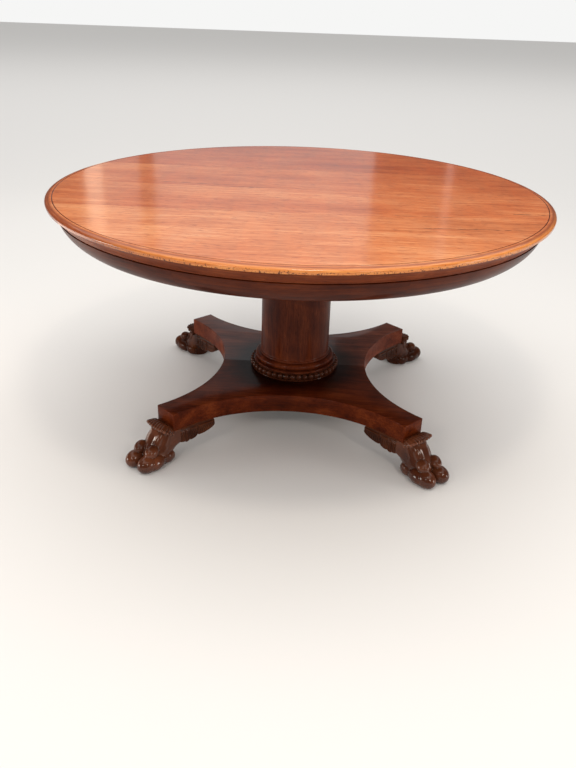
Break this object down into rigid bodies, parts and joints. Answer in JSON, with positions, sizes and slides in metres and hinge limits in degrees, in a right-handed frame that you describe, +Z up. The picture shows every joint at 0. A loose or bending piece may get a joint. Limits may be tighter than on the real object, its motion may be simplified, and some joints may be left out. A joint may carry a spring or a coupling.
{
  "type": "round pedestal table",
  "caption": "Round pedestal table with a tilting solid wood top, plain column, concave-sided platform and four carved paw feet.",
  "frame": {"origin": "on the floor, on the axis of the column, with the top lying flat", "axes": "+Z up; +X along the boards of the top, from left to right; -Y is the front, which the top faces when it is tilted"},
  "size_m": [1.49, 1.49, 0.736],
  "materials": {
    "top_mahogany": "French-polished mahogany, warm orange red",
    "frieze_mahogany": "polished mahogany facing, dark brown",
    "dark_mahogany": "dark polished mahogany",
    "carved_mahogany": "carved and polished dark mahogany",
    "plain_timber": "unpolished pine, darkened with age",
    "brass": "old brass",
    "steel": "dull iron"
  },
  "bodies": {
    "base": {"beaded_collar": "carved_mahogany", "catch_keeper": "brass", "column_shaft": "dark_mahogany", "foot_screw_back_left": "steel", "foot_screw_back_right": "steel", "foot_screw_front_left": "steel", "foot_screw_front_right": "steel", "leaf_bracket_back_left_back_edge": "carved_mahogany", "leaf_bracket_back_left_left_edge": "carved_mahogany", "leaf_bracket_back_right_back_edge": "carved_mahogany", "leaf_bracket_back_right_right_edge": "carved_mahogany", "leaf_bracket_front_left_front_edge": "carved_mahogany", "leaf_bracket_front_left_left_edge": "carved_mahogany", "leaf_bracket_front_right_front_edge": "carved_mahogany", "leaf_bracket_front_right_right_edge": "carved_mahogany", "paw_foot_back_left": "carved_mahogany", "paw_foot_back_right": "carved_mahogany", "paw_foot_front_left": "carved_mahogany", "paw_foot_front_right": "carved_mahogany", "platform_back": "dark_mahogany", "platform_batten_left": "plain_timber", "platform_batten_right": "plain_timber", "platform_front": "dark_mahogany", "tie_bolt": "steel", "tie_bolt_nut": "steel", "tie_bolt_washer": "steel", "tilt_block": "dark_mahogany", "torus_moulding": "dark_mahogany"},
    "table_top": {"bearer_left": "plain_timber", "bearer_right": "plain_timber", "bearer_screw_left_1": "steel", "bearer_screw_left_2": "steel", "bearer_screw_left_3": "steel", "bearer_screw_left_4": "steel", "bearer_screw_right_1": "steel", "bearer_screw_right_2": "steel", "bearer_screw_right_3": "steel", "bearer_screw_right_4": "steel", "catch_plate": "brass", "cove_moulding_1": "frieze_mahogany", "cove_moulding_2": "frieze_mahogany", "cove_moulding_3": "frieze_mahogany", "cove_moulding_4": "frieze_mahogany", "frieze_block_1": "frieze_mahogany", "frieze_block_2": "frieze_mahogany", "frieze_block_3": "frieze_mahogany", "frieze_block_4": "frieze_mahogany", "frieze_block_5": "frieze_mahogany", "frieze_block_6": "frieze_mahogany", "frieze_block_7": "frieze_mahogany", "frieze_block_8": "frieze_mahogany", "pivot_pin_left": "steel", "pivot_pin_right": "steel", "top_board_1": "top_mahogany", "top_board_2": "top_mahogany", "top_board_3": "top_mahogany", "top_board_4": "top_mahogany"},
    "catch": {"catch_bolt": "brass"}
  },
  "joints": [
    {"name": "top_tilt", "type": "hinge", "parent": "base", "child": "table_top", "pos_m": [0, -0.25, 0.6901], "axis": [1, 0, 0], "range_deg": [0, 90]},
    {"name": "catch_slide", "type": "slide", "parent": "table_top", "child": "catch", "axis": [0, -1, 0], "range_m": [0, 0.015]}
  ]
}
